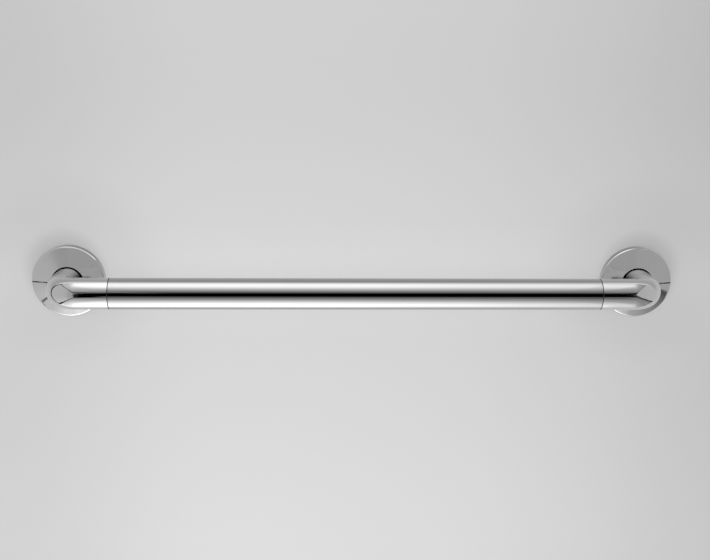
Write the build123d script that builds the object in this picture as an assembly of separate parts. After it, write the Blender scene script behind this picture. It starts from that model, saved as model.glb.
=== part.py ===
"""Wall-mounted grab bar: a round tube on two tight elbows, each welded to a screw plate under a split cover.

Millimetres. X runs along the tube, Y runs into the wall and Z is up. The origin lies on the wall,
midway between the two posts.
"""
import os
from math import atan2, cos, sin

from build123d import *

# The bar as a whole
post_spacing = 600.0        # between the axes of the two posts
hand_gap = 38.0             # free space between the wall and the tube

# Tube and elbows share one outside diameter and one wall
tube_diameter = 32.0
tube_wall = 1.5
inside_bend_radius = 1.0    # at the inner corner of an elbow
elbow_leg = 34.0            # straight part of an elbow, from its bend to the ring joint
joint_chamfer = 0.4         # the two chamfers that make the ring joint's fine groove
leg_setback = 0.5           # the wall leg stops short of the wall, to leave room for the weld's root

# Sleeve inside each ring joint
sleeve_wall = 2.5
sleeve_depth = 20.0         # how far it reaches into the tube, and into the elbow
sleeve_fit = 0.05           # radial clearance in both bores
sleeve_chamfer = 0.6

# Screw plate at the wall
plate_thickness = 3.0
plate_edge_break = 0.3
leg_fit = 0.05              # radial clearance round the welded leg
weld_size = 2.0             # leg length of the fillet weld
screw_count = 4
screw_hole_diameter = 6.5
screw_circle_diameter = 54.0
first_screw_angle = 45.0

# Coned cover in two equal halves
cover_diameter = 76.0
cover_rim_height = 7.2      # where the lines of skirt and cone would meet
cover_height = 12.0         # at the edge of the hole
cover_wall = 1.5
cover_rim_round = 2.5
cover_edge_break = 0.3      # round on the hole's outer edge
post_clearance = 0.8        # radial gap between the post and the cover's hole
plate_clearance = 0.25      # radial gap between the plate's rim and the cover's skirt
wall_gap = 0.2              # the skirt stands this far off the wall
split_gap = 0.9             # between the two halves

# Bead inside the skirt that sits in a groove round the plate's rim
bead_height = 0.8
bead_width = 1.2            # at its foot
bead_tip_width = 0.7
bead_clearance = 0.2

# Tongue and loop that hold the two halves together, one of each on every half
tongue_width = 8.0
tongue_thickness = 1.2
tongue_reach = 5.0          # past the split, and back along its own half
tongue_clearance = 0.3
loop_wall = 1.0
loop_length = 3.0
loop_setback = 1.0          # from the split to the loop

# Sizes that follow
tube_radius = tube_diameter / 2
bore_radius = tube_radius - tube_wall
axis_depth = hand_gap + tube_radius
bend_radius = tube_radius + inside_bend_radius
post_x = post_spacing / 2
joint_x = post_x - bend_radius - elbow_leg
cover_radius = cover_diameter / 2
skirt_inner_radius = cover_radius - cover_wall
plate_radius = skirt_inner_radius - plate_clearance
hole_radius = tube_radius + post_clearance
cone_slope = (cover_height - cover_rim_height) / (cover_radius - hole_radius)
cone_tilt = atan2(cover_height - cover_rim_height, cover_radius - hole_radius)
cone_wall_drop = cover_wall / cos(cone_tilt)
bead_height_on_plate = plate_thickness / 2


def cone_height(radius):
    """Height of the cover's outer cone above the wall at a radius."""
    return cover_height - (radius - hole_radius) * cone_slope


def wall_frame(x):
    """Frame on the wall at a post: its Z leaves the wall and its Y is up."""
    return Plane(origin=(x, 0, 0), x_dir=(1, 0, 0), z_dir=(0, -1, 0))


def section(*corners):
    """Closed outline of a round piece, its corners given as radius and height."""
    return make_face(Plane.XZ * Polyline(*corners, close=True))


def make_grip_tube():
    """Straight tube between the two ring joints, with chamfered ends."""
    along_bar = Plane(origin=(0, -axis_depth, 0), x_dir=(0, 1, 0), z_dir=(1, 0, 0))
    tube = along_bar * (Cylinder(tube_radius, 2 * joint_x) - Cylinder(bore_radius, 2 * joint_x))
    outer_ends = tube.edges().filter_by(GeomType.CIRCLE).sort_by(SortBy.RADIUS)[-2:]
    return chamfer(outer_ends, joint_chamfer)


def make_right_elbow():
    """Hollow elbow from the wall plate round a tight bend to the ring joint."""
    route = FilletPolyline(
        (post_x, -leg_setback, 0),
        (post_x, -axis_depth, 0),
        (joint_x, -axis_depth, 0),
        radius=bend_radius,
    )
    start = Plane(origin=route @ 0, z_dir=route % 0)
    tube_section = start * (Circle(tube_radius) - Circle(bore_radius))
    elbow = sweep(tube_section, path=route)
    joint_end = elbow.faces().sort_by(Axis.X)[0]
    outer_edge = joint_end.edges().sort_by(SortBy.LENGTH)[-1]
    return chamfer(outer_edge, joint_chamfer)


def make_right_sleeve():
    """Turned sleeve that bridges the ring joint inside both bores."""
    along_bar = Plane(origin=(joint_x, -axis_depth, 0), x_dir=(0, 1, 0), z_dir=(1, 0, 0))
    outside = bore_radius - sleeve_fit
    inside = outside - sleeve_wall
    sleeve = along_bar * (Cylinder(outside, 2 * sleeve_depth) - Cylinder(inside, 2 * sleeve_depth))
    outer_ends = sleeve.edges().filter_by(GeomType.CIRCLE).sort_by(SortBy.RADIUS)[-2:]
    return chamfer(outer_ends, sleeve_chamfer)


def make_wall_plate():
    """Round screw plate with a rim groove for the cover's bead and the weld round its post."""
    eye = tube_radius + leg_fit
    groove_radius = skirt_inner_radius - bead_height - bead_clearance
    groove_low = bead_height_on_plate - bead_width / 2 - bead_clearance
    groove_high = bead_height_on_plate + bead_width / 2 + bead_clearance
    outline = section(
        (eye, 0),
        (plate_radius - plate_edge_break, 0),
        (plate_radius, plate_edge_break),
        (plate_radius, groove_low),
        (groove_radius, groove_low),
        (groove_radius, groove_high),
        (plate_radius, groove_high),
        (plate_radius, plate_thickness - plate_edge_break),
        (plate_radius - plate_edge_break, plate_thickness),
        (eye + weld_size, plate_thickness),
        (eye, plate_thickness + weld_size),
    )
    plate = revolve(outline, Axis.Z)
    screw_places = PolarLocations(screw_circle_diameter / 2, screw_count, first_screw_angle)
    return plate - screw_places * Cylinder(screw_hole_diameter / 2, 3 * plate_thickness)


def round_corner(outline, radius, height, size):
    """The outline with the corner nearest a radius and height rounded."""
    corner = outline.vertices().sort_by_distance((radius, 0, height))[0]
    return fillet(corner, size)


def make_cover_shell():
    """Whole coned shell with its rounded rim, its hole and the bead inside its skirt."""
    inner_rim_height = cone_height(skirt_inner_radius) - cone_wall_drop
    outline = section(
        (cover_radius, wall_gap),
        (cover_radius, cover_rim_height),
        (hole_radius, cover_height),
        (hole_radius, cover_height - cone_wall_drop),
        (skirt_inner_radius, inner_rim_height),
        (skirt_inner_radius, wall_gap),
    )
    outline = round_corner(outline, cover_radius, cover_rim_height, cover_rim_round)
    inner_round = max(cover_rim_round - cover_wall, cover_edge_break)
    outline = round_corner(outline, skirt_inner_radius, inner_rim_height, inner_round)
    outline = round_corner(outline, hole_radius, cover_height, cover_edge_break)
    bead = section(
        (skirt_inner_radius + cover_wall / 2, bead_height_on_plate - bead_width / 2),
        (skirt_inner_radius, bead_height_on_plate - bead_width / 2),
        (skirt_inner_radius - bead_height, bead_height_on_plate - bead_tip_width / 2),
        (skirt_inner_radius - bead_height, bead_height_on_plate + bead_tip_width / 2),
        (skirt_inner_radius, bead_height_on_plate + bead_width / 2),
        (skirt_inner_radius + cover_wall / 2, bead_height_on_plate + bead_width / 2),
    )
    return revolve(outline, Axis.Z) + revolve(bead, Axis.Z)


def under_cone(side):
    """Frame under the cone on the split line: its Y points into the upper half and its Z at the wall."""
    radius = (hole_radius + skirt_inner_radius) / 2
    height = cone_height(radius) - cone_wall_drop
    along_split = (-cos(cone_tilt), 0, side * sin(cone_tilt))
    to_wall = (-side * sin(cone_tilt), 0, -cos(cone_tilt))
    return Plane(origin=(side * radius, 0, height), x_dir=along_split, z_dir=to_wall)


def block(frame, width, y_from, y_to, z_from, z_to):
    """Box centred across a frame, between two places along its Y and two depths along its Z."""
    middle = Pos(0, (y_from + y_to) / 2, (z_from + z_to) / 2)
    return frame * middle * Box(width, y_to - y_from, z_to - z_from)


def make_cover_half():
    """Upper half of a cover: half the shell, a tongue at one end of the split and a loop at the other."""
    reach = 2 * cover_diameter
    above_split = Pos(0, reach / 2 + split_gap / 2, 0) * Box(2 * reach, reach, reach)
    half = make_cover_shell() & above_split
    sunk = cover_wall / 2  # tongue and loop grow out of the middle of the cover's wall

    tongue_frame = under_cone(1)
    tongue_low = tongue_clearance + tongue_thickness
    tongue = block(tongue_frame, tongue_width, split_gap / 2, tongue_reach, -sunk, tongue_low)
    tongue += block(tongue_frame, tongue_width, -tongue_reach, tongue_reach, tongue_clearance, tongue_low)

    loop_frame = under_cone(-1)
    slot_width = tongue_width + 2 * tongue_clearance
    slot_low = tongue_low + tongue_clearance
    loop_end = loop_setback + loop_length
    loop_width = slot_width + 2 * loop_wall
    loop = block(loop_frame, loop_width, loop_setback, loop_end, -sunk, slot_low + loop_wall)
    loop -= block(loop_frame, slot_width, loop_setback, loop_end, -2 * sunk, slot_low)

    return half + tongue + loop


def export_pair(name, right_piece):
    """Write a piece of the right end and its mirror image at the left end."""
    export_step(right_piece, f"parts/{name}_right.step")
    export_step(mirror(right_piece, about=Plane.YZ), f"parts/{name}_left.step")


os.makedirs("parts", exist_ok=True)

export_step(make_grip_tube(), "parts/grip_tube.step")
export_pair("elbow", make_right_elbow())
export_pair("joint_sleeve", make_right_sleeve())

wall_plate = make_wall_plate()
cover_half = make_cover_half()
for end, x in (("left", -post_x), ("right", post_x)):
    at_wall = wall_frame(x)
    export_step(at_wall * wall_plate, f"parts/wall_plate_{end}.step")
    export_step(at_wall * cover_half, f"parts/cover_upper_{end}.step")
    export_step(at_wall * Rot(0, 0, 180) * cover_half, f"parts/cover_lower_{end}.step")
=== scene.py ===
# %% [markdown]
# # A grab bar on a bathroom wall
# A grab bar is a steel handrail for one hand. A straight tube runs between two tight elbows, each
# elbow is welded to a round screw plate, and a coned cover in two halves hides the plate.
# The CAD model already holds every size, so it is loaded first and stays as the frame of the scene:
# metres, X along the tube, Y into the wall, Z up, with the origin on the wall between the two posts.

# %% Load the CAD model
import math

import bmesh
import bpy
from mathutils import Matrix, Vector


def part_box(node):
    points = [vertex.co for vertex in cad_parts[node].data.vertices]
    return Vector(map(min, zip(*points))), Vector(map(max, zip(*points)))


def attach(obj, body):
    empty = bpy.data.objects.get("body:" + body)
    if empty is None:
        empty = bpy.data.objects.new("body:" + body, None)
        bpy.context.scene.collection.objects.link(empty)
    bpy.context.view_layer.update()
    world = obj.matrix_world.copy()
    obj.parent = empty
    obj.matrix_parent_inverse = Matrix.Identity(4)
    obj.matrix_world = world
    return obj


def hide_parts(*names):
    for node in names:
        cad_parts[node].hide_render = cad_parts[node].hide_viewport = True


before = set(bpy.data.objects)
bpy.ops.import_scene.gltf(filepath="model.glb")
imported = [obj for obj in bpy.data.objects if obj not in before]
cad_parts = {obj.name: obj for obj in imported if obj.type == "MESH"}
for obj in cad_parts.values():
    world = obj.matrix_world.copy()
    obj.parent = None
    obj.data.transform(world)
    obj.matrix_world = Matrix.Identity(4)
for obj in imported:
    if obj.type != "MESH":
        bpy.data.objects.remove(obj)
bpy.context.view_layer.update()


# %% [markdown]
# ## Sizes
# Where a piece sits can be read from the CAD boxes, so those sizes are measured and not typed again.
# The few that no box shows, such as a wall thickness or an edge round, are written here in
# millimetres with the values that the CAD source has.

# %% Sizes read from the CAD boxes
MM = 0.001
ENDS = ((-1, "left"), (1, "right"))

tube_low, tube_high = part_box("grip_tube")
tube_radius = (tube_high.y - tube_low.y) / 2
axis_y = (tube_high.y + tube_low.y) / 2
joint_x = tube_high.x

cover_low, cover_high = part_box("cover_upper_right")
post_x = (cover_high.x + cover_low.x) / 2
half_cover_width = (cover_high.x - cover_low.x) / 2
wall_gap = -cover_high.y

leg_end_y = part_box("elbow_right")[1].y
print("tube radius %.2f mm, posts at +-%.2f mm, ring joints at +-%.2f mm"
      % (tube_radius / MM, post_x / MM, joint_x / MM))

# %% Sizes that the boxes do not show
tube_wall = 1.5 * MM
bend_radius = 17.0 * MM
joint_chamfer = 0.4 * MM
sleeve_wall = 2.5 * MM
sleeve_fit = 0.05 * MM
sleeve_chamfer = 0.6 * MM
cover_wall = 1.5 * MM
cover_height = 12.0 * MM
cover_rim_height = 7.2 * MM
cover_rim_round = 2.5 * MM
cover_edge_break = 0.3 * MM
post_clearance = 0.8 * MM
split_gap = 0.9 * MM

cover_radius = math.hypot(half_cover_width, split_gap / 2)
bore_radius = tube_radius - tube_wall
hole_radius = tube_radius + post_clearance
skirt_inner_radius = cover_radius - cover_wall
cone_tilt = math.atan2(cover_height - cover_rim_height, cover_radius - hole_radius)
print("the cover's cone leans back %.1f degrees" % math.degrees(cone_tilt))

# %% [markdown]
# ## Camera
# The photograph was taken from a little left of the middle and from above the bar, with a long lens.
# Its place, turn and focal length were solved from the bar's outlines, the rings and the covers, so
# the camera is written as a place and three angles. A matrix built from its own right, up and
# forward directions leaves no doubt about the order of the turns.

# %% Camera
CAMERA_PLACE = Vector((-0.0456, -1.1339, 0.2992))
YAW, PITCH, ROLL = (math.radians(turn) for turn in (2.314, 14.75, 0.70))
FOCAL_PIXELS = 1104.1
IMAGE_WIDTH = 710
SENSOR_MM = 36.0


def link_object(name, data):
    """A new object in the scene."""
    made = bpy.data.objects.new(name, data)
    bpy.context.scene.collection.objects.link(made)
    return made


forward = Vector((math.sin(YAW) * math.cos(PITCH), math.cos(YAW) * math.cos(PITCH), -math.sin(PITCH)))
level_right = Vector((math.cos(YAW), -math.sin(YAW), 0.0))
level_up = level_right.cross(forward)
right = math.cos(ROLL) * level_right + math.sin(ROLL) * level_up
up = math.cos(ROLL) * level_up - math.sin(ROLL) * level_right

camera = link_object("camera", bpy.data.cameras.new("camera"))
camera.data.sensor_width = SENSOR_MM
camera.data.lens = FOCAL_PIXELS * SENSOR_MM / IMAGE_WIDTH
camera_turn = Matrix((right, up, -forward)).transposed().to_4x4()
camera.matrix_world = Matrix.Translation(CAMERA_PLACE) @ camera_turn
bpy.context.scene.camera = camera
bpy.context.scene.view_settings.view_transform = "Standard"
print("camera lens %.2f mm" % camera.data.lens)

# %% [markdown]
# ## Node helpers
# Shader trees and geometry trees are wired in the same way, so a few small functions serve both. One
# adds a node with its settings and feeds each input with a link or a plain value. The others name
# the sums, products and ramps that come back all the time.

# %% Helpers that add nodes
def feed(tree, socket, value):
    """Link one output or a list of them to an input, or set the input's own value."""
    if isinstance(value, bpy.types.NodeSocket):
        value = [value]
    if not isinstance(value, list):
        socket.default_value = value
        return
    for source in value:
        tree.links.new(source, socket)


def feed_all(tree, node, inputs):
    """Feed a node's inputs, given by name or number."""
    for socket, value in inputs.items():
        feed(tree, node.inputs[socket], value)


def add_node(tree, kind, inputs=None, **settings):
    """A new node with its settings made and its inputs fed."""
    node = tree.nodes.new(kind)
    for name, value in settings.items():
        setattr(node, name, value)
    feed_all(tree, node, inputs or {})
    return node


def output(tree, kind, inputs=None, **settings):
    """First output of a new node."""
    return add_node(tree, kind, inputs, **settings).outputs[0]


# %% Helpers that count
def calc(tree, operation, *values):
    """Output of a math node."""
    return output(tree, "ShaderNodeMath", dict(enumerate(values)), operation=operation)


def product(tree, value, *others):
    """Numbers multiplied one after the other."""
    for other in others:
        value = calc(tree, "MULTIPLY", value, other)
    return value


def total(tree, value, *others):
    """Numbers added one after the other."""
    for other in others:
        value = calc(tree, "ADD", value, other)
    return value


def less(tree, value, other):
    """A number less another."""
    return calc(tree, "SUBTRACT", value, other)


def blended(tree, share, value, other):
    """A value that goes over to another by a share."""
    return total(tree, product(tree, value, less(tree, 1.0, share)), product(tree, other, share))


def vector_calc(tree, operation, *values):
    """Output of a vector math node that gives a vector."""
    return output(tree, "ShaderNodeVectorMath", dict(enumerate(values)), operation=operation)


def scaled(tree, vector, factor):
    """A vector times a number."""
    return output(tree, "ShaderNodeVectorMath", {"Vector": vector, "Scale": factor}, operation="SCALE")


def split_xyz(tree, vector):
    """The three parts of a vector."""
    return add_node(tree, "ShaderNodeSeparateXYZ", {0: vector}).outputs


def join_xyz(tree, *parts):
    """A vector from three parts."""
    return output(tree, "ShaderNodeCombineXYZ", dict(enumerate(parts)))


# %% Helpers for places and shades
def grey(tree, value):
    """A grey colour from a number."""
    return join_xyz(tree, value, value, value)


def object_place(tree):
    """Object coordinates, which are the CAD frame's own metres."""
    return add_node(tree, "ShaderNodeTexCoord").outputs["Object"]


def round_post(tree, rise=0.0, inward=0.0):
    """Distance from the nearer post's axis, or from a line above or inward of it, then angle and Y."""
    parts = split_xyz(tree, object_place(tree))
    sideways = less(tree, calc(tree, "ABSOLUTE", parts["X"]), post_x - inward)
    upward = less(tree, parts["Z"], rise)
    squares = total(tree, product(tree, sideways, sideways), product(tree, upward, upward))
    return calc(tree, "SQRT", squares), calc(tree, "ARCTAN2", upward, sideways), parts["Y"]


def shade_along(tree, value, stops):
    """A smooth ramp of brightness along a value; stops are pairs of value and brightness."""
    first, last = stops[0][0], stops[-1][0]
    place = output(tree, "ShaderNodeMapRange", {"Value": value, "From Min": first, "From Max": last})
    ramp = add_node(tree, "ShaderNodeValToRGB", {"Fac": place})
    ramp.color_ramp.interpolation = "CARDINAL"
    marks = ramp.color_ramp.elements
    while len(marks) < len(stops):
        marks.new(0.5)
    for mark, (at, level) in zip(marks, stops):
        mark.position = (at - first) / (last - first)
        mark.color = (level, level, level, 1)
    return ramp.outputs["Color"]


SECOND_GLOW = 0.80
FIRST_DEPTH = 1.5


def evened(tree, value, second=SECOND_GLOW):
    """A glow that is plain and even where a reflection shows another reflection."""
    depth = add_node(tree, "ShaderNodeLightPath").outputs["Ray Depth"]
    return blended(tree, calc(tree, "GREATER_THAN", depth, FIRST_DEPTH), value, second)


# %% [markdown]
# ## Wall and floor
# The bar hangs on a pale wall, so the backdrop is a wall and not a sweep. It lies half a millimetre
# behind the plates, and it has a round opening behind each cover, so that the backs of the plates
# get light too. Its back is see-through, so that the bar can also be looked at from behind. A filled
# 2D curve gives a flat sheet with round openings at once. The pale floor lies well below.

# %% Wall
WALL_BEHIND = 0.5 * MM
WALL_HALF_WIDTH = 6.0
WALL_TOP = 5.0
FLOOR_Z = -0.9
WALL_OPENING = cover_radius - 1.1 * MM
OPENING_POINTS = 128


def add_loop(curve, places):
    """A closed loop of straight runs in a flat curve."""
    loop = curve.splines.new("POLY")
    loop.points.add(len(places) - 1)
    for point, (x, z) in zip(loop.points, places):
        point.co = (x, z, 0.0, 1.0)
    loop.use_cyclic_u = True


def opening(x):
    """Places round a post where the wall is open."""
    turns = [math.tau * step / OPENING_POINTS for step in range(OPENING_POINTS)]
    return [(x + WALL_OPENING * math.cos(turn), WALL_OPENING * math.sin(turn)) for turn in turns]


def evaluated_mesh(holder):
    """A plain mesh of what an object and its modifiers make."""
    graph = bpy.context.evaluated_depsgraph_get()
    return bpy.data.meshes.new_from_object(holder.evaluated_get(graph))


sheet = bpy.data.curves.new("wall_outline", "CURVE")
sheet.dimensions = "2D"
sheet.fill_mode = "BOTH"
add_loop(sheet, [(-WALL_HALF_WIDTH, FLOOR_Z), (WALL_HALF_WIDTH, FLOOR_Z),
                 (WALL_HALF_WIDTH, WALL_TOP), (-WALL_HALF_WIDTH, WALL_TOP)])
for side, end in ENDS:
    add_loop(sheet, opening(side * post_x))
holder = link_object("wall_outline", sheet)
wall = link_object("stage_wall", evaluated_mesh(holder))
bpy.data.objects.remove(holder)
wall.data.transform(Matrix.Translation((0, WALL_BEHIND, 0)) @ Matrix.Rotation(math.radians(90), 4, "X"))
print("the wall faces", [round(part, 2) for part in wall.data.polygons[0].normal])

# %% Floor
FLOOR_HALF = 12.0


def mesh_of(name, corners, faces):
    """A mesh from corners and faces."""
    mesh = bpy.data.meshes.new(name)
    mesh.from_pydata(corners, [], faces)
    return mesh


floor_corners = [(x * FLOOR_HALF, y * FLOOR_HALF, FLOOR_Z) for x, y in ((-1, -1), (1, -1), (1, 1), (-1, 1))]
floor = link_object("stage_floor", mesh_of("stage_floor", floor_corners, [(0, 1, 2, 3)]))
print("floor %.0f m wide, %.1f m below the bar" % (2 * FLOOR_HALF, -FLOOR_Z))

# %% Paint for wall and floor
PAINT_ROUGHNESS = 0.9
CLOUDINESS = 0.04
FLOOR_SHADE = 0.82
# The wall's colour carries painted light: lighter low down and left of the middle, with a painted soft shadow
# round each cover.
SHADE_RISE, SHADE_OUTWARD = 12.0 * MM, 5.0 * MM
PAINTED_COVER_SHADOW = ((0.024, 0.72), (0.030, 0.78), (0.035, 0.82), (0.044, 0.92), (0.055, 0.945), (0.07, 0.955),
               (0.085, 0.972), (0.11, 1.0))
WALL_ACROSS = ((-0.5, 0.89), (-0.34, 0.905), (-0.22, 0.975), (-0.1, 1.0), (0.15, 0.96), (0.3, 0.87),
               (0.45, 0.78))
WALL_UPWARD = ((-0.3, 0.84), (-0.08, 0.79), (-0.03, 0.818), (0.0, 0.838), (0.03, 0.81), (0.06, 0.775),
               (0.2, 0.72), (0.4, 0.74))


def new_material(name):
    """A material with its tree and its own shader."""
    material = bpy.data.materials.new(name)
    material.use_nodes = True
    return material, material.node_tree, material.node_tree.nodes["Principled BSDF"]


def matt_paint(name, shade_of):
    """Pale matt paint with a faint cloudiness over its own shading; its tree and its colour."""
    material, tree, shader = new_material(name)
    cloud = output(tree, "ShaderNodeTexNoise", {"Vector": object_place(tree), "Scale": 2.0, "Detail": 3.0})
    uneven = calc(tree, "MULTIPLY_ADD", cloud, CLOUDINESS, 1 - CLOUDINESS / 2)
    colour = grey(tree, product(tree, shade_of(tree), uneven))
    feed_all(tree, shader, {"Base Color": colour, "Roughness": PAINT_ROUGHNESS, "Specular IOR Level": 0.0})
    return material, tree, colour


def painted_wall_shading(tree):
    """Painted light and shade: lightest low down and left of the middle, with a painted soft shadow above and
    outside each cover.
    """
    parts = split_xyz(tree, object_place(tree))
    painted_cover_shadow = shade_along(tree, round_post(tree, SHADE_RISE, -SHADE_OUTWARD)[0], PAINTED_COVER_SHADOW)
    return product(tree, shade_along(tree, parts["X"], WALL_ACROSS),
                   shade_along(tree, parts["Z"], WALL_UPWARD), painted_cover_shadow)


wall_paint, paint_tree, wall_colour = matt_paint("wall_paint", painted_wall_shading)
floor_paint = matt_paint("floor_paint", lambda tree: FLOOR_SHADE)[0]
wall.data.materials.append(wall_paint)
floor.data.materials.append(floor_paint)
print("paints:", wall_paint.name, floor_paint.name)

# %% [markdown]
# ## How the wall is seen
# In the photograph the light comes from all sides, and the bar leaves hardly a shadow on the wall. So
# the camera sees mostly an even glow of the wall's own paint, with a share of the true shadow left in.
# The polish sees the wall as a ramp of its own by height, deeper in shade close above each cover, and
# nothing at all is seen of the wall's back. Light Path tells these rays apart.

# %% Even light on the wall
WALL_EVEN = 0.7
WALL_GLOW = 0.84
WALL_IN_POLISH = ((-0.3, 0.75), (-0.12, 0.64), (0.0, 0.61), (0.035, 0.57), (0.06, 0.50), (0.12, 0.45),
                  (0.18, 0.56), (0.25, 0.80), (0.43, 1.0))
CORNER_RISE, CORNER_INWARD = 22 * MM, 10 * MM
CORNER_SHADE = ((0.0155, 0.68), (0.0195, 0.72), (0.0245, 0.84), (0.0305, 0.95), (0.037, 1.0))


def either(tree, share, surface, other):
    """A surface that goes over to another by a share."""
    return output(tree, "ShaderNodeMixShader", {0: share, 1: surface, 2: other})


def wall_surface(tree, painted, colour):
    """The wall as the camera, the polish and a look from behind see it."""
    rays = add_node(tree, "ShaderNodeLightPath").outputs
    even = output(tree, "ShaderNodeEmission", {"Color": colour, "Strength": WALL_GLOW})
    softened = either(tree, product(tree, rays["Is Camera Ray"], WALL_EVEN), painted, even)
    by_height = shade_along(tree, split_xyz(tree, object_place(tree))["Z"], WALL_IN_POLISH)
    corner = shade_along(tree, round_post(tree, CORNER_RISE, CORNER_INWARD)[0], CORNER_SHADE)
    reflected = evened(tree, product(tree, by_height, corner))
    mirrored = output(tree, "ShaderNodeEmission", {"Strength": reflected})
    in_polish = either(tree, rays["Is Glossy Ray"], softened, mirrored)
    behind = add_node(tree, "ShaderNodeNewGeometry").outputs["Backfacing"]
    return either(tree, behind, in_polish, output(tree, "ShaderNodeBsdfTransparent"))


painted = paint_tree.nodes["Principled BSDF"].outputs[0]
feed(paint_tree, paint_tree.nodes["Material Output"].inputs["Surface"],
     wall_surface(paint_tree, painted, wall_colour))
print("the wall keeps %.0f %% of the bar's shadow" % (100 * (1 - WALL_EVEN)))

# %% [markdown]
# ## Room light
# Pale walls throw light from everywhere, so an even white world does most of the work, and one large
# soft lamp in front gives it a little direction. Reflections do not see the lamp: what the polish
# shows is set up by itself in the next step.

# %% Room light
WORLD_LIGHT = 0.75
LAMP_PLACE = Vector((-0.3, -2.0, 0.3))
LAMP_WIDTH, LAMP_HEIGHT = 2.4, 1.6
LAMP_WATTS = 14.0

world = bpy.data.worlds.new("soft_room")
world.use_nodes = True
background = world.node_tree.nodes["Background"]
feed_all(world.node_tree, background, {"Color": (1, 1, 1, 1), "Strength": WORLD_LIGHT})
bpy.context.scene.world = world

lamp = link_object("soft_lamp", bpy.data.lights.new("soft_lamp", "AREA"))
lamp.data.shape = "RECTANGLE"
lamp.data.size = LAMP_WIDTH
lamp.data.size_y = LAMP_HEIGHT
lamp.data.energy = LAMP_WATTS
toward_bar = (-LAMP_PLACE).to_track_quat("-Z", "Y").to_matrix().to_4x4()
lamp.matrix_world = Matrix.Translation(LAMP_PLACE) @ toward_bar
lamp.visible_glossy = False
print("world %.2f, lamp %.0f W" % (WORLD_LIGHT, LAMP_WATTS))

# %% [markdown]
# ## What the polish reflects
# Polished steel has hardly a colour of its own: it shows the studio. The photograph's bar shows two
# white bands, from a ceiling and a floor of white cloth, a black line between them, and grey panels
# at the two sides. So a tent of cards stands round the bar. Only reflections see them, so they
# neither light the wall nor get in the camera's way. Each card glows with its own shading, written
# as a sum of layers with a ramp along one or two axes of the room.
#
# The round bar and the flat covers look into the tent so differently that some cards are lit for one
# of them alone, by light linking. A clear card only adds its glow on the pieces that it is linked to.
# An opaque one is black on all the others: the front panel is black on the bar, which is the black
# line, the seams are dark on the bar alone, and a fold in the left panel is dark on the covers alone.
# Where one reflection shows another, all cards glow evenly, which keeps such double images calm.

# %% Cards that only reflections see
bar_only = bpy.data.collections.new("bar_only")
covers_only = bpy.data.collections.new("covers_only")


def add_card(name, corners, faces, material, only):
    """A card that only glossy rays see, lit for all pieces or for those of one collection."""
    card = link_object(name, mesh_of(name, corners, faces))
    card.data.materials.append(material)
    card.visible_camera = False
    card.visible_diffuse = False
    card.visible_shadow = False
    card.visible_volume_scatter = False
    card.light_linking.receiver_collection = only


def flat_card(name, corners, material, only=None):
    """A card with one face."""
    add_card(name, corners, [tuple(range(len(corners)))], material, only)


def ribbon(name, first, second, material, only=None):
    """A strip of card between two lines of places."""
    count = len(first)
    faces = [(step, step + 1, count + step + 1, count + step) for step in range(count - 1)]
    add_card(name, first + second, faces, material, only)


def glow(name, *layers, clear=False):
    """A card's glow: the sum of its layers, each a level and its ramps; a clear card is seen through."""
    material, tree, unused = new_material(name)
    tree.nodes.remove(unused)
    places = split_xyz(tree, object_place(tree))
    strength = 0.0
    for level, *ramps in layers:
        shades = [shade_along(tree, places[axis], stops) for axis, stops in ramps]
        strength = total(tree, strength, product(tree, level, *shades))
    second = 0.0 if clear else SECOND_GLOW
    surface = output(tree, "ShaderNodeEmission", {"Strength": evened(tree, strength, second)})
    if clear:
        see_through = output(tree, "ShaderNodeBsdfTransparent")
        surface = output(tree, "ShaderNodeAddShader", {0: surface, 1: see_through})
    feed(tree, tree.nodes["Material Output"].inputs["Surface"], surface)
    return material


# %% Glow of the ceiling cloth
ceiling_glow = glow(
    "ceiling_cloth",
    (0.38, ("Y", ((-1.5, 0.0), (-1.05, 0.36), (-0.65, 0.88), (-0.5, 0.97), (0.0, 1.0)))),
    (0.17, ("X", ((-0.52, 1.0), (-0.45, 0.76), (-0.40, 0.47), (-0.37, 0.0)))))
bar_band_glow = glow(
    "ceiling_band_for_bar",
    (1.40, ("Y", ((-0.85, 0.0), (-0.65, 0.08), (-0.5, 0.22), (-0.4, 0.41), (-0.28, 0.77), (-0.14, 1.0),
                  (0.0, 0.71))),
     ("X", ((-0.58, 0.08), (-0.487, 0.11), (-0.442, 0.216), (-0.399, 0.378), (-0.379, 0.51), (-0.371, 0.73),
            (-0.35, 0.82), (-0.32, 0.95), (0.0, 1.0), (0.3, 0.80), (0.352, 0.74), (0.365, 0.56),
            (0.40, 0.523), (0.406, 0.46), (0.411, 0.31), (0.435, 0.16), (0.48, 0.065), (0.58, 0.02)))),
    clear=True)
cover_band_glow = glow(
    "ceiling_band_for_covers",
    (1.5, ("Y", ((-0.75, 0.0), (-0.5, 0.4), (-0.3, 0.9), (-0.15, 1.0))),
     ("X", ((-0.56, 0.15), (-0.42, 0.5), (-0.13, 0.55), (0.05, 0.75), (0.2, 0.9), (0.3, 0.6), (0.37, 0.25),
            (0.45, 0.12), (0.58, 0.3)))),
    (0.45, ("Y", ((-1.5, 1.0), (-1.05, 0.7), (-0.65, 0.25), (-0.3, 0.0)))), clear=True)
print("ceiling:", ceiling_glow.name, bar_band_glow.name, cover_band_glow.name)

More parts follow.
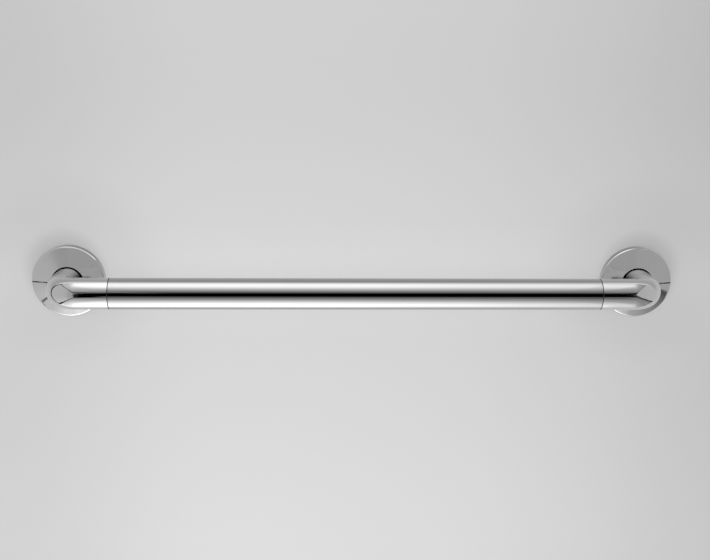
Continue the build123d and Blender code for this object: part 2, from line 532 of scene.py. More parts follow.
# %% Glow of the floor cloth
floor_glow = glow(
    "floor_cloth",
    (0.50, ("Y", ((-1.5, 0.4), (-1.05, 0.66), (-0.64, 0.88), (0.0, 1.0))),
     ("X", ((0.39, 1.0), (0.43, 0.92), (0.47, 0.84), (0.52, 0.70), (0.58, 0.63)))),
    (1.60, ("Y", ((-0.95, 0.0), (-0.76, 0.06), (-0.57, 0.17), (-0.345, 0.56), (-0.2, 0.94), (-0.12, 1.0),
                  (0.0, 0.5))),
     ("X", ((-0.58, 0.25), (-0.49, 0.23), (-0.445, 0.32), (-0.408, 0.41), (-0.369, 0.49), (-0.36, 0.66),
            (-0.34, 0.85), (-0.2, 1.0), (0.0, 0.95), (0.19, 0.77), (0.31, 0.55), (0.338, 0.49), (0.352, 0.32),
            (0.376, 0.28), (0.386, 0.17), (0.394, 0.07), (0.41, 0.02), (0.47, 0.0)))),
    (0.6, ("Y", ((-0.12, 0.0), (0.0, 1.0))), ("X", ((-0.35, 1.0), (-0.1, 0.8), (0.1, 0.2), (0.2, 0.0)))))
cover_floor_glow = glow(
    "floor_for_covers",
    (0.38, ("Y", ((-0.8, 0.6), (-0.33, 1.0))),
     ("X", ((-0.58, 0.35), (-0.51, 0.67), (-0.43, 1.0), (-0.36, 0.69), (-0.32, 0.35), (0.3, 0.5), (0.36, 0.3),
            (0.42, 0.35), (0.58, 0.25)))),
    (1.1, ("Y", ((-0.31, 0.0), (-0.24, 1.0))),
     ("X", ((-0.52, 0.0), (-0.42, 0.5), (-0.3, 0.9), (-0.1, 0.7), (0.1, 0.85), (0.21, 0.8), (0.3, 0.3),
            (0.38, 0.0)))),
    clear=True)
far_floor_glow = glow("far_floor", (0.20, ("Z", ((-0.34, 1.0), (-0.20, 0.75), (-0.15, 0.5), (-0.12, 0.0)))))
print("floor:", floor_glow.name, cover_floor_glow.name, far_floor_glow.name)

# %% Glow of the panels
left_glow = glow(
    "left_panel",
    (0.72, ("Y", ((-1.4, 0.74), (-0.68, 0.77), (-0.5, 0.92), (0.0, 1.0))),
     ("Z", ((-0.34, 1.0), (-0.2, 0.92), (-0.1, 0.84), (0.0, 0.82)))))
cover_left_glow = glow(
    "left_panel_for_covers",
    (0.17, ("Y", ((-1.42, 0.5), (-0.6, 0.6), (-0.42, 0.85), (-0.3, 1.0))),
     ("Z", ((-0.34, 1.0), (-0.19, 1.0), (-0.12, 0.75), (0.05, 0.8)))), clear=True)
right_glow = glow("right_panel", (0.60, ("Y", ((-1.0, 0.92), (-0.4, 0.94), (0.0, 1.0)))))
upper_right_glow = glow("upper_right", (0.33, ("Y", ((-1.06, 0.0), (-0.85, 0.35), (-0.5, 0.85), (0.0, 1.0)))))
cover_upper_right_glow = glow(
    "upper_right_for_covers",
    (0.55, ("Y", ((-1.06, 1.0), (-0.85, 0.79), (-0.5, 0.49), (0.0, 0.4)))), clear=True)
dark_corner_glow = glow(
    "dark_corner",
    (0.40, ("Z", ((-0.34, 0.95), (-0.28, 0.80), (-0.23, 0.65), (-0.18, 0.42), (-0.14, 0.28), (-0.05, 0.2),
                  (0.1, 0.12)))))
front_glow = glow("front_panel", (0.53,))
seam_glow = glow("seam_for_covers", (0.85,))
dark_line_glow = glow("dark_line_for_covers", (0.12,))
print("panels:", left_glow.name, right_glow.name, front_glow.name)

# %% The tent
TENT_X = 0.583
TENT_TOP, TENT_LOW = 0.43, -0.34
TENT_FRONT, TENT_BACK = -1.5, -0.004
FRONT_HALF = 1.3
LEFT_PANEL_END, RIGHT_PANEL_END = -1.42, -1.06
FAR_FLOOR_LEFT, FAR_FLOOR_TOP = -0.53, -0.12
INSIDE = 0.002
DARK_END = ((-FRONT_HALF, 0.0), (-0.1, 0.0), (0.1, 0.08), (0.35, 0.14), (FRONT_HALF, 0.16))


def level_card(name, z, material, only=None):
    """A card lying flat over the whole tent."""
    flat_card(name, [(-FRONT_HALF, TENT_FRONT, z), (FRONT_HALF, TENT_FRONT, z),
                     (FRONT_HALF, TENT_BACK, z), (-FRONT_HALF, TENT_BACK, z)], material, only)


def side_card(name, x, front, material, only=None):
    """A card standing at one side of the tent, from a place in front to the wall."""
    flat_card(name, [(x, front, TENT_LOW), (x, TENT_BACK, TENT_LOW),
                     (x, TENT_BACK, TENT_TOP), (x, front, TENT_TOP)], material, only)


def front_card(name, left, y, high, material, only=None):
    """A card standing across the front on the floor, from a place at the left to the far right."""
    flat_card(name, [(left, y, TENT_LOW), (FRONT_HALF, y, TENT_LOW), (FRONT_HALF, y, high), (left, y, high)],
              material, only)


level_card("card_ceiling", TENT_TOP, ceiling_glow)
level_card("card_bar_band", TENT_TOP - INSIDE, bar_band_glow, bar_only)
level_card("card_cover_band", TENT_TOP - 2 * INSIDE, cover_band_glow, covers_only)
level_card("card_floor", TENT_LOW, floor_glow)
level_card("card_cover_floor", TENT_LOW + INSIDE, cover_floor_glow, covers_only)
side_card("card_left", -TENT_X, LEFT_PANEL_END, left_glow)
side_card("card_cover_left", -TENT_X + INSIDE, LEFT_PANEL_END, cover_left_glow, covers_only)
side_card("card_upper_right", TENT_X, RIGHT_PANEL_END, upper_right_glow)
front_card("card_far_floor", FAR_FLOOR_LEFT, TENT_FRONT + INSIDE, FAR_FLOOR_TOP, far_floor_glow)
front_card("card_front", -FRONT_HALF, TENT_FRONT, TENT_TOP, front_glow, covers_only)
under_ceiling = TENT_TOP - 3 * INSIDE
ribbon("card_dark_end", [(x, TENT_FRONT, under_ceiling) for x, reach in DARK_END],
       [(x, TENT_FRONT + reach, under_ceiling) for x, reach in DARK_END], front_glow, covers_only)
print("tent %.2f x %.2f x %.2f m" % (2 * TENT_X, TENT_BACK - TENT_FRONT, TENT_TOP - TENT_LOW))

# %% Right panel and the dark corner under it
RIGHT_TOP_EDGE = ((TENT_BACK, 0.335), (-0.17, 0.374), (-0.41, 0.388), (-0.72, 0.375), (-0.95, 0.29),
                  (RIGHT_PANEL_END, 0.18))
DARK_EDGE = ((TENT_BACK, -0.18), (-0.18, -0.165), (-0.27, -0.136), (-0.48, -0.098), (-0.75, 0.0),
             (-0.95, 0.11), (RIGHT_PANEL_END, 0.17))
DARK_LINE = 0.03


def up_to_edge(name, x, start, edge, material, only=None):
    """A card at one side between a level line and an edge of places along Y and heights."""
    level = [(x, edge[-1][0], start), (x, edge[0][0], start)]
    flat_card(name, level + [(x, y, z) for y, z in edge], material, only)


def side_strip(name, x, line, material, only):
    """A strip at one side, along places of Y, height and width."""
    ribbon(name, [(x, y, z + wide / 2) for y, z, wide in line], [(x, y, z - wide / 2) for y, z, wide in line],
           material, only)


up_to_edge("card_right", TENT_X - INSIDE, TENT_LOW, RIGHT_TOP_EDGE, right_glow)
up_to_edge("card_dark_corner", TENT_X - 2 * INSIDE, TENT_LOW, DARK_EDGE, dark_corner_glow)
up_to_edge("card_cover_upper_right", TENT_X - INSIDE / 2, TENT_TOP, RIGHT_TOP_EDGE, cover_upper_right_glow,
           covers_only)
side_strip("seam_dark_edge", TENT_X - 3 * INSIDE, [(y, z - DARK_LINE / 2, DARK_LINE) for y, z in DARK_EDGE],
           dark_line_glow, covers_only)
print("the right panel's top edge is up to %.2f m high" % max(z for y, z in RIGHT_TOP_EDGE))

# %% Dark seams of the left panel, and its fold
LEFT_TOP_SEAM = ((TENT_BACK, 0.347, 0.024), (-0.18, 0.377, 0.027), (-0.39, 0.408, 0.034),
                 (-0.52, 0.41, 0.04))
LEFT_CEILING_SEAM = ((-0.5, 0.0, 0.04), (-1.04, 0.04, 0.055), (TENT_FRONT, 0.08, 0.08))
LEFT_LOW_SEAM = ((LEFT_PANEL_END, 0.0385), (-0.6, 0.0252), (-0.35, 0.0252), (-0.22, 0.0294), (-0.1, 0.035),
                 (TENT_BACK, 0.035))
BACK_SEAM = 0.028
FOLD = ((-0.42, -0.255, 0.018), (-0.34, -0.258, 0.024), (-0.27, -0.275, 0.03), (-0.12, -0.30, 0.04),
        (-0.02, -0.31, 0.05))

seam_x = -TENT_X + 2 * INSIDE
side_strip("seam_left_top", seam_x, LEFT_TOP_SEAM, seam_glow, covers_only)
ribbon("seam_left_ceiling", [(seam_x + off, y, under_ceiling) for y, off, wide in LEFT_CEILING_SEAM],
       [(seam_x + off + wide, y, under_ceiling) for y, off, wide in LEFT_CEILING_SEAM],
       seam_glow, covers_only)
ribbon("seam_left_low", [(seam_x, y, TENT_LOW + reach) for y, reach in LEFT_LOW_SEAM],
       [(seam_x + reach, y, TENT_LOW + 2 * INSIDE) for y, reach in LEFT_LOW_SEAM], seam_glow, covers_only)
side_card("seam_left_back", seam_x, TENT_BACK - BACK_SEAM, seam_glow, covers_only)
side_strip("fold_left", -TENT_X + INSIDE / 2, FOLD, left_glow, bar_only)
print("seams %.0f to %.0f mm wide" % (LEFT_TOP_SEAM[0][2] / MM, LEFT_CEILING_SEAM[-1][2] / MM))

# %% [markdown]
# ## Steel finishes
# All the metal is stainless steel, which reflects somewhat over half of the light. What tells the
# pieces apart is how each was finished. The tube is polished on rollers, which leaves hair-fine
# lines round it; the elbow is buffed by hand; the covers are spun and polished in circles; the plate
# keeps its rolled mill skin; and the sleeve is turned on a lathe. Each finish is one Principled
# shader whose roughness and bump come from noise stretched the way the tool ran.

# %% Shared pieces of a steel finish
TONE_SPREAD = 0.01
# The dark tone is the polish residue in a ring joint's groove, and also a painted shade inside each cover and
# along its split.
RESIDUE_AND_SHADE_TONE, RESIDUE_ROUGHNESS = 0.06, 0.6


def new_steel(name, colour, roughness):
    """A steel material with a plain colour and roughness to start from; its tree and shader."""
    material, tree, shader = new_material(name)
    feed_all(tree, shader, {"Metallic": 1.0, "Base Color": (*colour, 1.0), "Roughness": roughness})
    return material, tree, shader


def stretched_noise(tree, place, stretch, detail):
    """Noise with its own number of marks a metre along each axis."""
    mapped = output(tree, "ShaderNodeMapping", {"Vector": place, "Scale": stretch})
    return output(tree, "ShaderNodeTexNoise", {"Vector": mapped, "Scale": 1.0, "Detail": detail})


def spread(tree, value, low, high, start=0.3, end=0.7):
    """A value from start to end, spread over low to high."""
    return output(tree, "ShaderNodeMapRange", {
        "Value": value, "From Min": start, "From Max": end, "To Min": low, "To Max": high})


def bump(tree, height, distance):
    """The surface's direction, raised by a height pattern."""
    return output(tree, "ShaderNodeBump", {"Distance": distance, "Height": height})


# %% Polished tube and elbow
GROOVE_HALF, GROOVE_FLOOR = 0.45 * MM, 0.36 * MM
ROLLER_LINES, LINE_HEIGHT = (2400.0, 60.0, 60.0), 0.004 * MM
WIPE_MARKS = (9.0, 40.0, 40.0)
# FLANK_STARTS, FLANK_FULL and the flank ramp give a painted shade down each post's flanks, behind the bar.
FLANK_STARTS, FLANK_FULL = -5 * MM, 3 * MM
PAINTED_FLANK_SHADE = ((-22 * MM, 1.0), (-18.5 * MM, 0.95), (-16 * MM, 0.14), (-14 * MM, 0.2), (-12 * MM, 0.48),
              (-10 * MM, 0.72), (-8 * MM, 0.88), (-5 * MM, 0.96), (0.0, 0.90), (3 * MM, 0.76), (6 * MM, 0.62),
              (10 * MM, 0.52), (16 * MM, 0.45))


def joint_groove(tree):
    """One inside the fine groove of a ring joint, where polish residue stays, and nought elsewhere."""
    along = calc(tree, "ABSOLUTE", split_xyz(tree, object_place(tree))["X"])
    off_joint = calc(tree, "ABSOLUTE", less(tree, along, joint_x))
    return spread(tree, off_joint, 1.0, 0.0, GROOVE_FLOOR, GROOVE_HALF)


def flank_shade(tree):
    """One on the bar, and a painted shade down a post's two flanks, in its colour and in its reflection's
    tint.
    """
    parts = split_xyz(tree, object_place(tree))
    outward = less(tree, calc(tree, "ABSOLUTE", parts["X"]), post_x)
    bar_back = axis_y + tube_radius
    behind_bar = spread(tree, parts["Y"], 0.0, 1.0, bar_back + FLANK_STARTS, bar_back + FLANK_FULL)
    return blended(tree, behind_bar, 1.0, shade_along(tree, outward, PAINTED_FLANK_SHADE))


def polished_finish(name, colour, rough_low, rough_high):
    """Mirror polish with fine lines round the tube and faint wipe marks, laid before the pipe was bent."""
    material, tree, shader = new_steel(name, (colour, colour, colour), rough_low)
    straightened = add_node(tree, "ShaderNodeAttribute", attribute_name="straightened").outputs["Vector"]
    lines = stretched_noise(tree, straightened, ROLLER_LINES, 3.0)
    wipes = stretched_noise(tree, straightened, WIPE_MARKS, 4.0)
    groove, flank = joint_groove(tree), flank_shade(tree)
    roughness = spread(tree, wipes, rough_low, rough_high)
    shade = product(tree, spread(tree, wipes, colour + TONE_SPREAD, colour - TONE_SPREAD), flank)
    feed_all(tree, shader, {
        "Roughness": blended(tree, groove, roughness, RESIDUE_ROUGHNESS),
        "Base Color": grey(tree, blended(tree, groove, shade, RESIDUE_AND_SHADE_TONE)),
        # The flank's painted shade darkens the reflection too, through the specular tint.
        "Specular Tint": grey(tree, flank),
        "Normal": bump(tree, lines, LINE_HEIGHT)})
    return material


tube_finish = polished_finish("polished_steel_tube", colour=0.55, rough_low=0.03, rough_high=0.06)
elbow_finish = polished_finish("polished_steel_elbow", colour=0.70, rough_low=0.02, rough_high=0.05)
print("finishes:", tube_finish.name, elbow_finish.name)

# %% Cover finish
# A painted shade, nearly black, fills each cover's inside and the lips of its split.
INSIDE_STARTS = 0.4 * MM
SPLIT_LIP = 0.65 * MM
SPUN_CIRCLES, CIRCLE_HEIGHT = (2600.0, 3.0, 900.0), 0.006 * MM
COVER_CLOUD = (45.0, 45.0, 45.0)
COVER_TONE, COVER_ROUGHNESS, COVER_ROUGH_RANGE = 0.56, 0.06, (0.05, 0.08)


def cover_inside(tree, distance, depth):
    """One inside a cover, on the cut faces of its split and on the lips beside it, where shade is painted,
    and nought on its polished outside.
    """
    off_hole = less(tree, distance, hole_radius)
    outer_height = calc(tree, "MULTIPLY_ADD", off_hole, -math.tan(cone_tilt), cover_height)
    below_cone = calc(tree, "GREATER_THAN", total(tree, outer_height, depth), INSIDE_STARTS)
    on_skirt = calc(tree, "GREATER_THAN", distance, cover_radius - cover_wall / 2)
    from_split = calc(tree, "ABSOLUTE", split_xyz(tree, object_place(tree))["Z"])
    return calc(tree, "MAXIMUM", product(tree, below_cone, less(tree, 1.0, on_skirt)),
                calc(tree, "LESS_THAN", from_split, SPLIT_LIP))


def cover_finish_material():
    """Spun and polished cover: fine circles and an even shine outside, a painted shade inside and along the
    split.
    """
    material, tree, shader = new_steel("cover_polish", (COVER_TONE, COVER_TONE, COVER_TONE), COVER_ROUGHNESS)
    distance, angle, depth = round_post(tree)
    circles = stretched_noise(tree, join_xyz(tree, distance, angle, depth), SPUN_CIRCLES, 3.0)
    cloud = stretched_noise(tree, object_place(tree), COVER_CLOUD, 3.0)
    inside = cover_inside(tree, distance, depth)
    shade = spread(tree, cloud, COVER_TONE + TONE_SPREAD, COVER_TONE - TONE_SPREAD)
    feed_all(tree, shader, {
        "Roughness": blended(tree, inside, spread(tree, cloud, *COVER_ROUGH_RANGE), RESIDUE_ROUGHNESS),
        "Base Color": grey(tree, blended(tree, inside, shade, RESIDUE_AND_SHADE_TONE)),
        "Normal": bump(tree, circles, CIRCLE_HEIGHT)})
    return material


cover_finish = cover_finish_material()
print("finish:", cover_finish.name)

# %% Plate and sleeve finishes
ROLLED_SKIN, SKIN_HEIGHT = (60.0, 200.0, 1500.0), 0.02 * MM
TINT_BLOTCH, TINT_WANDER, TINT_REACH = (120.0, 120.0, 120.0), 4.0 * MM, 10 * MM
TINT_MARKS = ((0.0, (0.42, 0.41, 0.40)), (0.35, (0.47, 0.42, 0.34)), (1.0, (0.50, 0.50, 0.50)))
PLATE_ROUGHNESS, PLATE_ROUGH_RANGE = 0.42, (0.34, 0.50)
LATHE_RIDGES, RIDGE_HEIGHT = 900.0, 0.01 * MM
SLEEVE_CLOUD = (500.0, 60.0, 60.0)
SLEEVE_COLOUR, SLEEVE_ROUGHNESS, SLEEVE_ROUGH_RANGE = (0.54, 0.54, 0.55), 0.30, (0.24, 0.36)


def plate_finish_material():
    """Rolled sheet with a dull mill skin, a straw tint by the weld and a pale bead."""
    material, tree, shader = new_steel("plate_mill_skin", TINT_MARKS[-1][1], PLATE_ROUGHNESS)
    rolled = stretched_noise(tree, object_place(tree), ROLLED_SKIN, 4.0)
    blotch = stretched_noise(tree, object_place(tree), TINT_BLOTCH, 4.0)
    off_post = total(tree, round_post(tree)[0], product(tree, blotch, TINT_WANDER))
    share = spread(tree, off_post, 0.0, 1.0, tube_radius, tube_radius + TINT_REACH)
    tint = add_node(tree, "ShaderNodeValToRGB", {"Fac": share})
    tint.color_ramp.elements.new(0.5)
    for mark, (at, colour) in zip(tint.color_ramp.elements, TINT_MARKS):
        mark.position = at
        mark.color = (*colour, 1)
    feed_all(tree, shader, {
        "Roughness": spread(tree, rolled, *PLATE_ROUGH_RANGE),
        "Base Color": tint.outputs["Color"],
        "Normal": bump(tree, rolled, SKIN_HEIGHT)})
    return material


def sleeve_finish_material():
    """Turned sleeve with the fine ridges of a lathe tool."""
    material, tree, shader = new_steel("sleeve_turned", SLEEVE_COLOUR, SLEEVE_ROUGHNESS)
    ridges = add_node(tree, "ShaderNodeTexWave", {
        "Vector": object_place(tree), "Scale": LATHE_RIDGES, "Distortion": 0.4},
        wave_type="BANDS", bands_direction="X")
    cloud = stretched_noise(tree, object_place(tree), SLEEVE_CLOUD, 3.0)
    feed_all(tree, shader, {
        "Roughness": spread(tree, cloud, *SLEEVE_ROUGH_RANGE),
        "Normal": bump(tree, ridges.outputs["Fac"], RIDGE_HEIGHT)})
    return material


plate_finish = plate_finish_material()
sleeve_finish = sleeve_finish_material()
print("finishes:", plate_finish.name, sleeve_finish.name)

# %% [markdown]
# ## One rule for every round piece
# The tube, the elbows, the sleeves, the covers and the plates are all the same kind of shape: the
# outline of a wall, carried round an axis that runs along a route. So one geometry tree makes them
# all. The outline is drawn as distance along the route and distance from it. The tree rounds the
# route's corner, reads the route's place and direction for each point of the outline, and turns the
# outline round it. A part turn gets its two cut faces, and a split takes the same width everywhere.

# %% Steps of the sweep tree
SHARP_ANGLE = math.radians(20)


def new_tree(name, wanted):
    """A geometry tree with named inputs and one output; the tree and its inputs."""
    tree = bpy.data.node_groups.new(name, "GeometryNodeTree")
    for label, kind in wanted:
        tree.interface.new_socket(label, in_out="INPUT", socket_type="NodeSocket" + kind)
    tree.interface.new_socket("Piece", in_out="OUTPUT", socket_type="NodeSocketGeometry")
    return tree, add_node(tree, "NodeGroupInput").outputs


def finish_tree(tree, geometry, material):
    """End a tree: smooth faces, sharp edges where faces meet at an angle, and the finish."""
    smooth = output(tree, "GeometryNodeSetShadeSmooth", {"Geometry": geometry}, domain="FACE")
    corners = calc(tree, "GREATER_THAN", output(tree, "GeometryNodeInputMeshEdgeAngle"), SHARP_ANGLE)
    sharp = output(tree, "GeometryNodeSetShadeSmooth", {
        "Geometry": smooth, "Selection": corners, "Shade Smooth": False}, domain="EDGE")
    whole = output(tree, "GeometryNodeRealizeInstances", {0: sharp})
    finished = output(tree, "GeometryNodeSetMaterial", {"Geometry": whole, "Material": material})
    add_node(tree, "NodeGroupOutput", {0: finished})
    print(tree.name, "with", len(tree.nodes), "nodes")


def rounded_route(tree, given):
    """The route's three corners as a line with its middle corner rounded."""
    corner = add_node(tree, "GeometryNodeIndexSwitch", data_type="VECTOR")
    corner.index_switch_items.new()
    feed_all(tree, corner, {
        "Index": output(tree, "GeometryNodeInputIndex"),
        1: given["Route Start"], 2: given["Route Corner"], 3: given["Route End"]})
    line = output(tree, "GeometryNodeMeshLine", {"Count": 3})
    placed = output(tree, "GeometryNodeSetPosition", {"Geometry": line, "Position": corner.outputs[0]})
    curve = output(tree, "GeometryNodeMeshToCurve", {0: placed})
    return output(tree, "GeometryNodeFilletCurve", {
        "Curve": curve, "Count": given["Bend Steps"], "Radius": given["Bend Radius"]}, mode="POLY")


def carried_round(tree, given, route, along, reach, share):
    """Place of an outline point at a share of the turn, on the route and straightened."""
    cut = calc(tree, "ARCSINE", calc(tree, "DIVIDE", product(tree, given["Split Gap"], 0.5), reach))
    swing = less(tree, given["Turn"], product(tree, cut, 2.0))
    angle = total(tree, given["Turn Start"], cut, product(tree, swing, share))
    sample = add_node(tree, "GeometryNodeSampleCurve", {"Curves": route, "Length": along}, mode="LENGTH")
    here = sample.outputs
    sideways = vector_calc(tree, "CROSS_PRODUCT", here["Tangent"], (0.0, 0.0, 1.0))
    across = product(tree, reach, calc(tree, "COSINE", angle))
    rise = product(tree, reach, calc(tree, "SINE", angle))
    offset = vector_calc(tree, "ADD", scaled(tree, sideways, across), join_xyz(tree, 0.0, 0.0, rise))
    return vector_calc(tree, "ADD", here["Position"], offset), join_xyz(tree, along, across, rise)


def placed_with_note(tree, mesh, place, straight):
    """Move a mesh's points and keep their straightened place for the finish."""
    noted = output(tree, "GeometryNodeStoreNamedAttribute", {
        "Geometry": mesh, "Name": "straightened", "Value": straight},
        data_type="FLOAT_VECTOR", domain="POINT")
    return output(tree, "GeometryNodeSetPosition", {"Geometry": noted, "Position": place})


# %% Build the sweep tree
MERGE = 0.000001

sweep, given = new_tree("sweep_outline_round_route", (
    ("Outline", "Geometry"), ("Route Start", "Vector"), ("Route Corner", "Vector"), ("Route End", "Vector"),
    ("Bend Radius", "Float"), ("Bend Steps", "Int"), ("Around", "Int"), ("Turn Start", "Float"),
    ("Turn", "Float"), ("Split Gap", "Float"), ("Cut Faces", "Bool"), ("Finish", "Material")))
route = rounded_route(sweep, given)
count = output(sweep, "GeometryNodeAttributeDomainSize", {0: given["Outline"]})
ring = total(sweep, given["Around"], 1)
grid = output(sweep, "GeometryNodeMeshGrid", {"Vertices X": total(sweep, count, 1), "Vertices Y": ring})

number = output(sweep, "GeometryNodeInputIndex")
row = calc(sweep, "FLOOR", calc(sweep, "DIVIDE", total(sweep, number, 0.5), ring))
column = less(sweep, number, product(sweep, row, ring))
position = output(sweep, "GeometryNodeInputPosition")
drawn = split_xyz(sweep, output(sweep, "GeometryNodeSampleIndex", {
    "Geometry": given["Outline"], "Value": position, "Index": calc(sweep, "MODULO", row, count)},
    data_type="FLOAT_VECTOR", domain="POINT"))
share = calc(sweep, "DIVIDE", column, given["Around"])
skin = placed_with_note(sweep, grid, *carried_round(sweep, given, route, drawn["X"], drawn["Y"], share))

own = split_xyz(sweep, position)
caps = [placed_with_note(sweep, given["Outline"],
                         *carried_round(sweep, given, route, own["X"], own["Y"], end)) for end in (0.0, 1.0)]
closing = output(sweep, "GeometryNodeSwitch", {
    "Switch": given["Cut Faces"], "True": output(sweep, "GeometryNodeJoinGeometry", {0: caps})},
    input_type="GEOMETRY")
shell = output(sweep, "GeometryNodeJoinGeometry", {0: [skin, closing]})
merged = output(sweep, "GeometryNodeMergeByDistance", {"Geometry": shell, "Distance": MERGE})
finish_tree(sweep, merged, given["Finish"])

# %% [markdown]
# ## From a tree to a piece
# An object holds the flat outline, and the tree is its modifier. Inputs are set by the socket's
# identifier before the object is first evaluated. The result is then copied into a plain mesh, the
# modifier goes, the faces are turned outward, and the volume is compared with the CAD solid, which
# shows at once whether a wall or an end is missing.

# %% Helpers that make a piece
def grow(piece, tree, values):
    """Give a piece a geometry tree, with its inputs set by their identifiers."""
    modifier = piece.modifiers.new(tree.name, "NODES")
    modifier.node_group = tree
    for item in tree.interface.items_tree:
        if item.in_out == "INPUT" and item.name in values:
            modifier[item.identifier] = values[item.name]


def freeze(piece):
    """Replace a piece's mesh by what its modifiers make, with all faces outward."""
    mesh = evaluated_mesh(piece)
    piece.modifiers.clear()
    piece.data = mesh
    mesh.name = piece.name
    work = bmesh.new()
    work.from_mesh(mesh)
    bmesh.ops.recalc_face_normals(work, faces=work.faces)
    if work.calc_volume(signed=True) < 0:
        bmesh.ops.reverse_faces(work, faces=work.faces)
    work.to_mesh(mesh)
    work.free()


def swept(name, outline, around, finish, route, bend=0.0, bend_steps=1, turn=(0.0, math.tau), gap=0.0):
    """A piece from its outline of along and reach, and its route's three corners."""
    corners = [(along, reach, 0.0) for along, reach in outline]
    piece = link_object(name, mesh_of(name, corners, [tuple(range(len(corners)))]))
    grow(piece, sweep, {
        "Route Start": route[0], "Route Corner": route[1], "Route End": route[2],
        "Bend Radius": bend, "Bend Steps": bend_steps, "Around": around,
        "Turn Start": turn[0], "Turn": turn[1], "Split Gap": gap,
        "Cut Faces": turn[1] < math.tau, "Finish": finish})
    freeze(piece)
    return piece


def straight_route(start, end):
    """A route whose corner lies halfway along a straight line."""
    return start, tuple((first + last) / 2 for first, last in zip(start, end)), end


# %% Helpers that hand a piece over
def volume_of(mesh):
    """Volume inside a mesh and its number of open edges, its loose corners merged first."""
    work = bmesh.new()
    work.from_mesh(mesh)
    bmesh.ops.remove_doubles(work, verts=work.verts, dist=MERGE)
    volume = work.calc_volume(signed=True)
    open_edges = sum(1 for edge in work.edges if len(edge.link_faces) != 2)
    work.free()
    return volume / MM ** 3, open_edges


def stand_for(piece, node):
    """Let a finished piece ride on the body and stand for its CAD node."""
    volume, open_edges = volume_of(piece.data)
    cad_volume = volume_of(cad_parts[node].data)[0]
    print("%s: %d faces, %d open edges, %.1f mm3, CAD %.1f mm3"
          % (piece.name, len(piece.data.polygons), open_edges, volume, cad_volume))
    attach(piece, "root")
    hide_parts(node)


# %% [markdown]
# ## Grip tube
# The tube is drawn steel pipe, cut square, with a small chamfer at each end. Against the elbow's own
# chamfer it makes the fine ring that the photograph shows near each end. The CAD mesh has 63 sides,
# which a mirror polish would show as facets, so the tube is swept again with many more.

# %% Grip tube
TUBE_SIDES = 256
TUBE_SPANS = 8


def pipe_outline(length, outside, inside, first_chamfer, last_chamfer, stops=()):
    """Outline of a pipe wall along its route, with chamfered outer ends and extra stops."""
    outline = [(0.0, outside - first_chamfer)]
    if first_chamfer:
        outline.append((first_chamfer, outside))
    outline += [(stop, outside) for stop in stops]
    if last_chamfer:
        outline.append((length - last_chamfer, outside))
    outline += [(length, outside - last_chamfer), (length, inside)]
    outline += [(stop, inside) for stop in reversed(stops)]
    outline.append((0.0, inside))
    return outline


tube_length = 2 * joint_x
tube_stops = [tube_length * step / TUBE_SPANS for step in range(1, TUBE_SPANS)]
tube_outline = pipe_outline(tube_length, tube_radius, bore_radius, joint_chamfer, joint_chamfer, tube_stops)
tube_route = straight_route((-joint_x, axis_y, 0.0), (joint_x, axis_y, 0.0))
grip_tube = swept("grip_tube_polished", tube_outline, TUBE_SIDES, tube_finish, tube_route)
stand_for(grip_tube, "grip_tube")
bar_only.objects.link(grip_tube)

# %% [markdown]
# ## Elbows
# An elbow is a short pipe bent almost to a corner: its inside radius is about a millimetre. It could
# be lathed in pieces and bridged, but a route with a rounded corner bends the whole wall in one go,
# and the steps of the bend are where the outline gets its extra stops.

# %% Elbows
ELBOW_SIDES = 160
BEND_STEPS = 64
NEAR_BEND = 0.96


def elbow_stops():
    """Places along the elbow's route: the leg, every step of the bend and the run to the joint."""
    leg = leg_end_y - axis_y - bend_radius
    step = 2 * bend_radius * math.sin(math.pi / 4 / BEND_STEPS)
    bend = [leg + step * number for number in range(BEND_STEPS + 1)]
    run = post_x - bend_radius - joint_x
    after = [bend[-1] + run * (1 - NEAR_BEND), bend[-1] + run / 2]
    return [leg / 2, leg * NEAR_BEND] + bend + after, bend[-1] + run


stops, elbow_length = elbow_stops()
elbow_outline = pipe_outline(elbow_length, tube_radius, bore_radius, 0.0, joint_chamfer, stops)
for side, end in ENDS:
    elbow_route = ((side * post_x, leg_end_y, 0.0), (side * post_x, axis_y, 0.0),
                   (side * joint_x, axis_y, 0.0))
    elbow = swept("elbow_%s_polished" % end, elbow_outline, ELBOW_SIDES, elbow_finish, elbow_route,
                  bend_radius, BEND_STEPS)
    stand_for(elbow, "elbow_" + end)
    bar_only.objects.link(elbow)

# %% [markdown]
# ## Joint sleeves
# A turned sleeve bridges each ring joint inside both bores. Nothing of it shows from outside, but a
# cut through the bar or a look along the open bore does.

# %% Joint sleeves
SLEEVE_SIDES = 128
sleeve_outside = bore_radius - sleeve_fit

for side, end in ENDS:
    low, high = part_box("joint_sleeve_" + end)
    sleeve_outline = pipe_outline(high.x - low.x, sleeve_outside, sleeve_outside - sleeve_wall,
                                  sleeve_chamfer, sleeve_chamfer)
    sleeve_route = straight_route((low.x, axis_y, 0.0), (high.x, axis_y, 0.0))
    sleeve = swept("joint_sleeve_%s_turned" % end, sleeve_outline, SLEEVE_SIDES, sleeve_finish, sleeve_route)
    stand_for(sleeve, "joint_sleeve_" + end)

# %% [markdown]
# ## Cover halves
# Each cover is a thin coned shell in two halves, so that it can be put on after the bar is screwed
# to the wall. A bead inside the skirt snaps into a groove round the plate. Polished metal shows every
# edge, so the outline's corners are true arcs, and each straight run gets a stop close to its arcs,
# which keeps the cone's shading straight.

# %% Outline of the cover
HOLD = 0.25 * MM
ARC_STEPS = 10
BEAD_MIDDLE, BEAD_HEIGHT = 1.5 * MM, 0.8 * MM
BEAD_FOOT, BEAD_TOP = 0.6 * MM, 0.35 * MM


